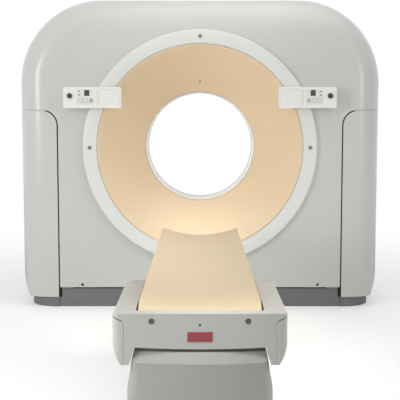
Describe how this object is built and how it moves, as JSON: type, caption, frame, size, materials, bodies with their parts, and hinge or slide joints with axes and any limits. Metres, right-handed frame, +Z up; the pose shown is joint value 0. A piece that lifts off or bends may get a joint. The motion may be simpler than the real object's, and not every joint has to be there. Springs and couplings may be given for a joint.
{
  "type": "ct scanner",
  "caption": "Medical computed tomography scanner: ring-shaped gantry with a turning X-ray set inside and a rising, sliding patient table in front of it.",
  "frame": {"origin": "on the floor, straight under the middle of the bore, at the centre of the gantry's four floor anchors", "axes": "+Z up, +Y from the table through the bore to the rear, +X to the right seen from the table's foot end"},
  "size_m": [2.24, 3.576, 1.9],
  "materials": {
    "cover_light_grey": "satin lacquer over moulded plastic",
    "ring_white": "glossy moulded plastic",
    "funnel_beige": "satin beige lacquer",
    "liner_white": "smooth white plastic",
    "plinth_grey": "dark grey matt plastic",
    "panel_white": "glossy white plastic",
    "plate_pale": "pale smooth plate",
    "keypad_white": "printed membrane",
    "button_dark": "dark glossy cap",
    "optic_dark": "dark glass",
    "lock_dark": "dark burnished metal",
    "frame_steel": "grey painted steel",
    "bearing_steel": "ground steel",
    "drum_aluminium": "machined casting",
    "coil_copper": "wound ring in resin",
    "unit_metal": "anodised casing",
    "tube_metal": "light lacquered casing",
    "weight_iron": "plain cast iron",
    "cabinet_metal": "folded sheet casing",
    "housing_grey": "satin grey plastic",
    "grip_grey": "satin grey plastic",
    "pedestal_grey": "satin grey plastic",
    "sleeve_grey": "matt grey plastic",
    "column_steel": "ground steel tube",
    "tray_metal": "grey painted metal",
    "carriage_metal": "anodised aluminium",
    "tabletop_beige": "smooth beige laminate",
    "notice_red": "plain red plate",
    "plug_grey": "soft grey rubber"
  },
  "bodies": {
    "gantry_and_base": {"front_cover": "cover_light_grey", "rear_cover": "cover_light_grey", "left_side_cover": "cover_light_grey", "right_side_cover": "cover_light_grey", "front_ring": "ring_white", "rear_ring": "ring_white", "front_funnel": "funnel_beige", "rear_funnel": "funnel_beige", "bore_liner": "liner_white", "front_plinth": "plinth_grey", "rear_plinth": "plinth_grey", "left_plinth": "plinth_grey", "right_plinth": "plinth_grey", "left_panel_housing": "panel_white", "right_panel_housing": "panel_white", "left_panel_plate": "plate_pale", "right_panel_plate": "plate_pale", "left_panel_keypad": "keypad_white", "right_panel_keypad": "keypad_white", "laser_windows": "optic_dark", "beam_window": "optic_dark", "cover_locks": "lock_dark", "gantry_base": "frame_steel", "standing_frame": "frame_steel", "main_bearing": "bearing_steel", "motor_coil": "coil_copper", "brush_block": "unit_metal", "power_cabinet": "cabinet_metal", "control_cabinet": "cabinet_metal", "table_base": "frame_steel", "pedestal_cover": "pedestal_grey", "inner_tubes": "column_steel"},
    "rotor": {"rotor_drum": "drum_aluminium", "xray_tube": "tube_metal", "collimator": "unit_metal", "detector_arc": "unit_metal", "generator": "unit_metal", "tube_cooler": "unit_metal", "balance_weight": "weight_iron"},
    "middle_stage": {"middle_sleeve": "sleeve_grey", "middle_tubes": "column_steel"},
    "table_upper": {"upper_sleeve": "sleeve_grey", "outer_tubes": "column_steel", "table_frame": "tray_metal", "foot_housing": "housing_grey", "left_grip": "grip_grey", "right_grip": "grip_grey", "socket_plugs": "plug_grey", "foot_screws": "lock_dark", "foot_lamp": "optic_dark", "notice_plate": "notice_red"},
    "carriage_stage": {"carriage": "carriage_metal"},
    "patient_top": {"tabletop": "tabletop_beige", "tabletop_runner": "carriage_metal"},
    "left_stop": {"left_stop_button": "button_dark"},
    "right_stop": {"right_stop_button": "button_dark"}
  },
  "joints": [
    {"name": "rotor_spin", "type": "hinge", "parent": "gantry_and_base", "child": "rotor", "pos_m": [0, 0, 0.99], "axis": [0, 1, 0], "continuous": true},
    {"name": "table_lift", "type": "slide", "parent": "gantry_and_base", "child": "table_upper", "axis": [0, 0, 1], "range_m": [0, 0.4]},
    {"name": "middle_stage_lift", "type": "slide", "parent": "gantry_and_base", "child": "middle_stage", "axis": [0, 0, 1], "range_m": [0, 0.2]},
    {"name": "carriage_slide", "type": "slide", "parent": "table_upper", "child": "carriage_stage", "axis": [0, 1, 0], "range_m": [0, 0.72]},
    {"name": "tabletop_slide", "type": "slide", "parent": "carriage_stage", "child": "patient_top", "axis": [0, 1, 0], "range_m": [0, 0.28]},
    {"name": "left_stop_press", "type": "slide", "parent": "gantry_and_base", "child": "left_stop", "axis": [0, 1, 0], "range_m": [0, 0.005], "stiffness_N_per_m": 1500},
    {"name": "right_stop_press", "type": "slide", "parent": "gantry_and_base", "child": "right_stop", "axis": [0, 1, 0], "range_m": [0, 0.005], "stiffness_N_per_m": 1500}
  ],
  "couplings": [
    {"joint": "middle_stage_lift", "follows": "table_lift", "ratio": 0.5},
    {"joint": "carriage_slide", "follows": "table_lift", "ratio": 1.8}
  ]
}
